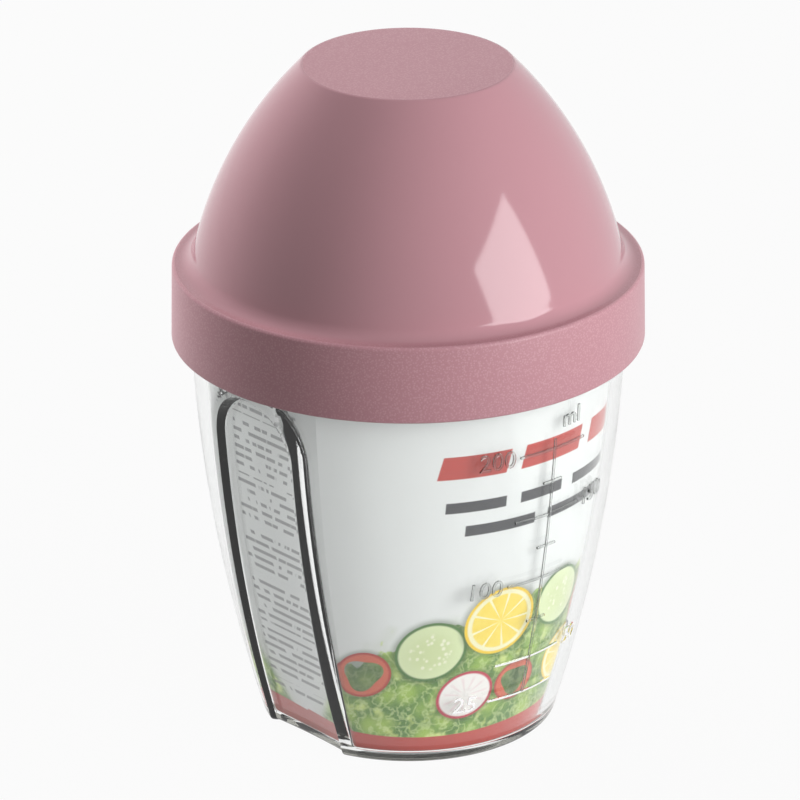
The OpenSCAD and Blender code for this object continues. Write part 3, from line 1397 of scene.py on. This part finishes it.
@dataclass
class ScaleMarks:
    """Measuring scale in relief on the front of the cup."""

    cup: Cup
    proud: float = 0.3
    sunk: float = 0.12
    line_w: float = 0.42
    line_half: float = 7.8
    tick_half: float = 2.2
    low_z: float = 12.7
    high_z: float = 66.5
    text_size: float = 4.9
    text_u: float = 12.4
    text_rounds: int = 3
    # Number, height and side of each long mark
    numbers: tuple[tuple[str, float, int], ...] = (
        ("200", 64.6, -1),
        ("150", 51.2, 1),
        ("100", 37.8, -1),
        ("50", 20.6, 1),
        ("25", 12.7, -1),
    )
    ticks: tuple[float, ...] = (58.0, 44.6, 28.9)
    unit: str = "ml"
    unit_place: Point = (4.0, 69.8)
    # Half the width and half the height of the cells that a bar is cut into, so that it bends
    cell_half_u: float = 1.0
    cell_half_z: float = 2.0

    def wrap(self, bm: bmesh.types.BMesh) -> None:
        """Bends the flat marks round the wall.

        Args:
            bm: Mesh with arc length as X, height as Y and lift as Z.
        """
        for vert in bm.verts:
            u, z, lift = vert.co.x / MM, vert.co.y / MM, vert.co.z / MM
            r = self.cup.outer_r(z) + lift
            turn = u / self.cup.outer_r(z)
            vert.co = Vector((r * math.sin(turn) * MM, -r * math.cos(turn) * MM, z * MM))

    def bar(self, bm: bmesh.types.BMesh, z: float, half_u: float, half_z: float) -> None:
        """Adds one straight bar on the middle line.

        Args:
            bm: Mesh of the flat marks.
            z: Height of its middle.
            half_u: Half its width.
            half_z: Half its height.
        """
        cells_u = max(1, int(half_u / self.cell_half_u))
        cells_z = max(1, int(half_z / self.cell_half_z))
        made = bmesh.ops.create_grid(bm, x_segments=cells_u, y_segments=cells_z, size=1.0)
        bmesh.ops.scale(bm, vec=(half_u * MM, half_z * MM, 1.0), verts=made["verts"])
        bmesh.ops.translate(bm, vec=(0.0, z * MM, 0.0), verts=made["verts"])

    def text(self, bm: bmesh.types.BMesh, words: str, u: float, z: float) -> None:
        """Adds a number or the unit as a flat mesh.

        Args:
            bm: Mesh of the flat marks.
            words: What it says.
            u: Arc length of its middle.
            z: Height of its middle.
        """
        curve = bpy.data.curves.new("number", "FONT")
        curve.body = words
        curve.size = self.text_size * MM
        curve.align_x = "CENTER"
        curve.align_y = "CENTER"
        curve.resolution_u = self.text_rounds
        holder = add_object("number", curve)
        mesh = bpy.data.meshes.new_from_object(holder)
        mesh.transform(Matrix.Translation((u * MM, z * MM, 0.0)))
        bm.from_mesh(mesh)
        bpy.data.objects.remove(holder)
        bpy.data.curves.remove(curve)
        bpy.data.meshes.remove(mesh)

    def build(self) -> None:
        """Builds the scale as one raised piece."""
        bm = bmesh.new()
        half_w = self.line_w / 2
        self.bar(bm, (self.low_z + self.high_z) / 2, half_w, (self.high_z - self.low_z) / 2)
        for words, z, side in self.numbers:
            self.bar(bm, z, self.line_half, half_w)
            self.text(bm, words, side * self.text_u, z)
        for z in self.ticks:
            self.bar(bm, z, self.tick_half, half_w)
        self.text(bm, self.unit, *self.unit_place)
        faces = list(bm.faces)
        bmesh.ops.translate(bm, vec=(0, 0, -self.sunk * MM), verts=bm.verts)
        made = bmesh.ops.extrude_face_region(bm, geom=faces, use_keep_orig=True)
        top = [item for item in made["geom"] if isinstance(item, bmesh.types.BMVert)]
        bmesh.ops.translate(bm, vec=(0, 0, (self.proud + self.sunk) * MM), verts=top)
        self.wrap(bm)
        bmesh.ops.recalc_face_normals(bm, faces=bm.faces)
        piece = to_piece(bm, "scale_marks", Body.CUP, Slot.CLEAR)
        piece.data.materials.append(ReliefPlastic().paint())


@dataclass
class Hood:
    """Screw hood in one moulding: collar, dome and crown."""

    outer_r: float = 43.8
    skirt_r: float = 41.7
    draft: float = 0.25
    low_z: float = 75.5
    ledge_z: float = 90.0
    wall: float = 2.2
    ledge_w: float = 3.8
    crown_z: float = 128.1
    crown_r: float = 19.5
    curve: float = 75.6
    fillet: float = 2.8
    collar_edge: float = 0.7
    foot_edge: float = 0.4
    crown_edge: float = 0.8
    seal_step_r: float = 40.6
    seal_step_h: float = 0.9
    thread_in: float = 0.5
    thread_z: float = 1.6
    thread_half: float = 0.8
    sharp: float = 40.0
    turns: int = 192
    dome_steps: int = 80
    inner_steps: int = 40
    fillet_steps: int = 14
    crown_steps: int = 10
    collar_steps: int = 7
    foot_steps: int = 5

    def outer_profile(self, dome: Circle) -> list[Point]:
        """Gives the outer profile.

        Args:
            dome: Circle of the dome's outer side.

        Returns:
            The points from the middle of the crown to the foot of the collar.
        """
        crown = dome.corner_inside(self.crown_z - self.crown_edge, self.crown_edge)
        crown_turn = dome.heading((crown.r, crown.z))
        fillet = dome.corner_outside(self.ledge_z + self.fillet, self.fillet)
        fillet_turn = dome.heading((fillet.r, fillet.z))
        edge_r = self.outer_r - self.draft - self.collar_edge
        edge = Circle(edge_r, self.ledge_z - self.collar_edge, self.collar_edge)
        foot = Circle(self.outer_r - self.foot_edge, self.low_z + self.foot_edge, self.foot_edge)
        return (
            [(0.0, self.crown_z), (self.crown_r / 2, self.crown_z)]
            + crown.arc(RIGHT_ANGLE, crown_turn, self.crown_steps)
            + dome.arc(crown_turn, fillet_turn, self.dome_steps)[1:]
            + fillet.arc(math.pi + fillet_turn, 3 * RIGHT_ANGLE, self.fillet_steps)[1:]
            + edge.arc(RIGHT_ANGLE, 0.0, self.collar_steps)
            + foot.arc(0.0, -RIGHT_ANGLE, self.foot_steps)
        )

    def inner_profile(self, dome: Circle) -> list[Point]:
        """Gives the inner profile.

        Args:
            dome: Circle of the dome's outer side.

        Returns:
            The points from the foot of the collar to the middle of the crown.
        """
        inner = dome.grown(-self.wall)
        under_z = self.ledge_z - self.wall
        step_z = under_z - self.seal_step_h
        top_z = self.crown_z - self.wall
        low = inner.heading((inner.reach(under_z), under_z))
        head = inner.heading((inner.reach(top_z), top_z))
        return (
            [(self.skirt_r, self.low_z), (self.skirt_r, step_z)]
            + [(self.seal_step_r, step_z), (self.seal_step_r, under_z)]
            + inner.arc(low, head, self.inner_steps)
            + [(0.0, top_z)]
        )

    def build(self) -> None:
        """Builds the hood and its inner thread."""
        dome_foot = (self.outer_r - self.ledge_w, self.ledge_z)
        dome = circle_through(dome_foot, (self.crown_r, self.crown_z), self.curve)
        bm = spin_profile(self.outer_profile(dome) + self.inner_profile(dome), self.turns)
        shell = to_piece(bm, "hood_shell", Body.HOOD, Slot.PINK, self.sharp)
        pink = HoodPlastic().paint(self.ledge_z, self.crown_z, self.crown_r)
        shell.data.materials.append(pink)
        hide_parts("hood_lid")
        low_z = self.low_z + self.thread_z
        thread = ThreadRidge(self.skirt_r, self.thread_in, low_z, self.thread_half, outwards=False)
        thread.build("hood_thread", Body.HOOD, Slot.PINK).data.materials.append(pink)


@dataclass(frozen=True)
class FrameFinish:
    """Finish of a part that stays as the frame gives it."""

    node: str
    paint: Callable[[], bpy.types.Material]

    def dress(self) -> None:
        """Gives the part its material."""
        material = self.paint()
        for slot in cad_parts[self.node].material_slots:
            slot.material = material
        log.info("%s: dressed", self.node)


# Studio


@dataclass(frozen=True)
class Lamp:
    """A square lamp that faces the object, placed by its azimuth from the camera's."""

    name: str
    azimuth: float
    elevation: float
    distance: float
    size: float
    power: float
    mirrored: bool = False
    roll: float = 0.0


@dataclass
class Studio:
    """Camera, lamps, floor and world, in metres apart from the lens and the sensor."""

    aim_z: float = 0.062
    camera_azimuth: float = -42.0
    reach: float = 1.02705
    camera_z: float = 0.49916
    pitch: float = 0.402769
    yaw: float = -0.001522
    roll: float = -0.002599
    lens: float = 270.0
    sensor: float = 36.0
    near: float = 0.01
    ambient: float = 0.12
    floor_size: float = 4.0
    floor_tone: Colour = (0.27, 0.265, 0.255)
    floor_roughness: float = 0.9
    floor_glow: float = 0.95
    lamps: tuple[Lamp, ...] = (
        Lamp("softbox", 58.0, 12.0, distance=0.8, size=0.46, power=4.8, mirrored=True, roll=22.0),
        Lamp("right_panel", 60.0, 28.0, distance=1.3, size=1.0, power=4.8),
        Lamp("left_panel", -130.0, 20.0, distance=1.2, size=0.8, power=17.5),
        Lamp("top_panel", 20.0, 82.0, distance=1.3, size=0.9, power=2.4),
    )

    def camera(self) -> None:
        """Places the camera where the photograph was taken from."""
        data = bpy.data.cameras.new("camera")
        data.lens = self.lens
        data.sensor_width = self.sensor
        data.clip_start = self.near
        obj = add_object("camera", data)
        cos_p, sin_p = math.cos(self.pitch), math.sin(self.pitch)
        forward = Vector((math.sin(self.yaw) * cos_p, math.cos(self.yaw) * cos_p, -sin_p))
        level_right = Vector((math.cos(self.yaw), -math.sin(self.yaw), 0.0))
        level_up = level_right.cross(forward)
        cos_r, sin_r = math.cos(self.roll), math.sin(self.roll)
        right = level_right * cos_r + level_up * sin_r
        up = level_up * cos_r - level_right * sin_r
        turn = Matrix.Rotation(math.radians(self.camera_azimuth), 4, "Z")
        basis = Matrix((right, up, -forward)).transposed().to_4x4()
        basis.translation = Vector((0.0, -self.reach, self.camera_z))
        obj.matrix_world = turn @ basis
        bpy.context.scene.camera = obj

    def lamp(self, lamp: Lamp) -> None:
        """Adds one lamp.

        Args:
            lamp: Its place, size and power.
        """
        data = bpy.data.lights.new(lamp.name, "AREA")
        data.shape = "SQUARE"
        data.size = lamp.size
        data.energy = lamp.power
        obj = add_object(lamp.name, data)
        azimuth = math.radians(lamp.azimuth + self.camera_azimuth)
        elevation = math.radians(lamp.elevation)
        level = math.cos(elevation)
        way = Vector((math.sin(azimuth) * level, -math.cos(azimuth) * level, math.sin(elevation)))
        rolled = Matrix.Rotation(math.radians(lamp.roll), 4, "Z")
        facing = way.to_track_quat("Z", "Y").to_matrix().to_4x4() @ rolled
        aim = Vector((0.0, 0.0, self.aim_z))
        obj.matrix_world = Matrix.Translation(aim + way * lamp.distance) @ facing
        obj.visible_glossy = lamp.mirrored
        obj.visible_transmission = False

    def seen(self, net: Network) -> Signal:
        """Tells the rays that show the background from those that light the object.

        Args:
            net: Network of the floor or the world.

        Returns:
            1 for rays that come straight, mirrored or bent by clear plastic, and 0 for others.
        """
        path = net.node("ShaderNodeLightPath")
        kinds = ("Is Camera Ray", "Is Glossy Ray", "Is Transmission Ray")
        straight, mirrored, bent = (Signal(net, path.outputs[kind]) for kind in kinds)
        return straight.math("MAXIMUM", mirrored).math("MAXIMUM", bent)

    def floor(self) -> None:
        """Lays a plain pale floor."""
        bm = bmesh.new()
        bmesh.ops.create_grid(bm, x_segments=1, y_segments=1, size=self.floor_size)
        mesh = bpy.data.meshes.new("floor")
        bm.to_mesh(mesh)
        bm.free()
        obj = add_object("floor", mesh)
        paint = Paint("floor")
        paint.set(Base_Color=self.floor_tone, Roughness=self.floor_roughness)
        glow = paint.node("ShaderNodeEmission", None, {"Color": WHITE, "Strength": 1.0})
        paint.show_instead(self.seen(paint) * self.floor_glow, glow)
        mesh.materials.append(paint.material)

    def world(self) -> None:
        """Sets a white surrounding that lights the object only faintly."""
        world = bpy.data.worlds.new("world")
        bpy.context.scene.world = world
        world.use_nodes = True
        net = Network(world.node_tree)
        values = {"Value": self.seen(net), "To Min": self.ambient, "To Max": 1.0}
        level = net.node("ShaderNodeMapRange", None, values)
        background = world.node_tree.nodes["Background"]
        net.feed(background.inputs["Color"], WHITE)
        net.feed(background.inputs["Strength"], level.outputs["Result"])

    def build(self) -> None:
        """Builds the studio."""
        self.camera()
        for lamp in self.lamps:
            self.lamp(lamp)
        self.floor()
        self.world()
        bpy.context.scene.view_settings.view_transform = "Standard"


def main() -> None:
    """Builds every part in order."""
    logging.basicConfig(level=logging.INFO, format="%(name)s: %(message)s")
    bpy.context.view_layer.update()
    Studio().build()
    cup = Cup()
    cup.build()
    ScaleMarks(cup).build()
    Hood().build()
    for finish in (
        FrameFinish("label_insert", SleevePrint().paint),
        FrameFinish("mixing_insert", WhitePlastic().paint),
        FrameFinish("seal_ring", Silicone().paint),
    ):
        finish.dress()


if __name__ == "__main__":
    main()
